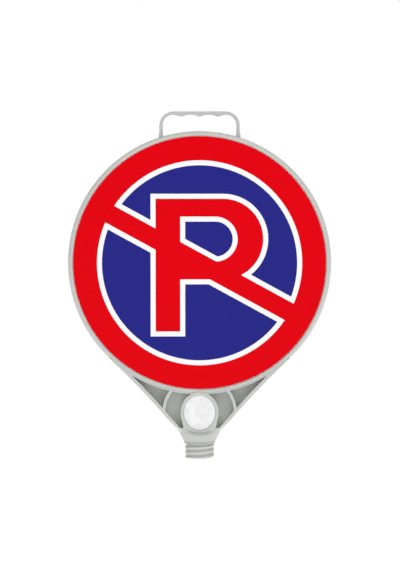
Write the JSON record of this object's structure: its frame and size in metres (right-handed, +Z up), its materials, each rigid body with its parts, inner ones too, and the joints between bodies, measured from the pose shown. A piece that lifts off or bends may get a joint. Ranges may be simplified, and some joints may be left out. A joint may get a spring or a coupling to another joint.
{
  "type": "portable round traffic sign head",
  "caption": "Round two-sided no-parking sign in a grey plastic rim with a finger-grip carry handle on top and a ribbed yoke ending in a threaded neck for a post or stand.",
  "frame": {"origin": "on the neck's axis, at the underside of its shoulder flange", "axes": "+Z up through the neck and the face centre, -Y out of the front face, +X to the right seen from the front"},
  "size_m": [0.311, 0.0406, 0.411],
  "materials": {
    "grey_plastic": "light grey moulded plastic, fine satin texture",
    "pin_steel": "plain steel dowel",
    "screw_steel": "zinc plated steel",
    "foam_tape": "dark grey foam tape",
    "plate_aluminium": "mill finish sheet",
    "white_sheeting": "white retroreflective sheeting",
    "red_film": "transparent red film over the sheeting",
    "blue_film": "transparent blue film over the sheeting",
    "reflector_white": "white domed reflector"
  },
  "bodies": {
    "root": {"carry_handle": "grey_plastic", "front_blue_film_letter": "blue_film", "front_blue_film_lower": "blue_film", "front_blue_film_upper": "blue_film", "front_oval_reflector": "reflector_white", "front_plate_tape": "foam_tape", "front_red_film": "red_film", "front_reflector_pad": "foam_tape", "front_shell": "grey_plastic", "front_sign_plate": "plate_aluminium", "front_white_sheet": "white_sheeting", "rear_blue_film_letter": "blue_film", "rear_blue_film_lower": "blue_film", "rear_blue_film_upper": "blue_film", "rear_oval_reflector": "reflector_white", "rear_plate_tape": "foam_tape", "rear_red_film": "red_film", "rear_reflector_pad": "foam_tape", "rear_shell": "grey_plastic", "rear_sign_plate": "plate_aluminium", "rear_white_sheet": "white_sheeting", "shell_screws": "screw_steel", "spigot_lock_pin": "pin_steel", "threaded_spigot": "grey_plastic"}
  },
  "joints": []
}
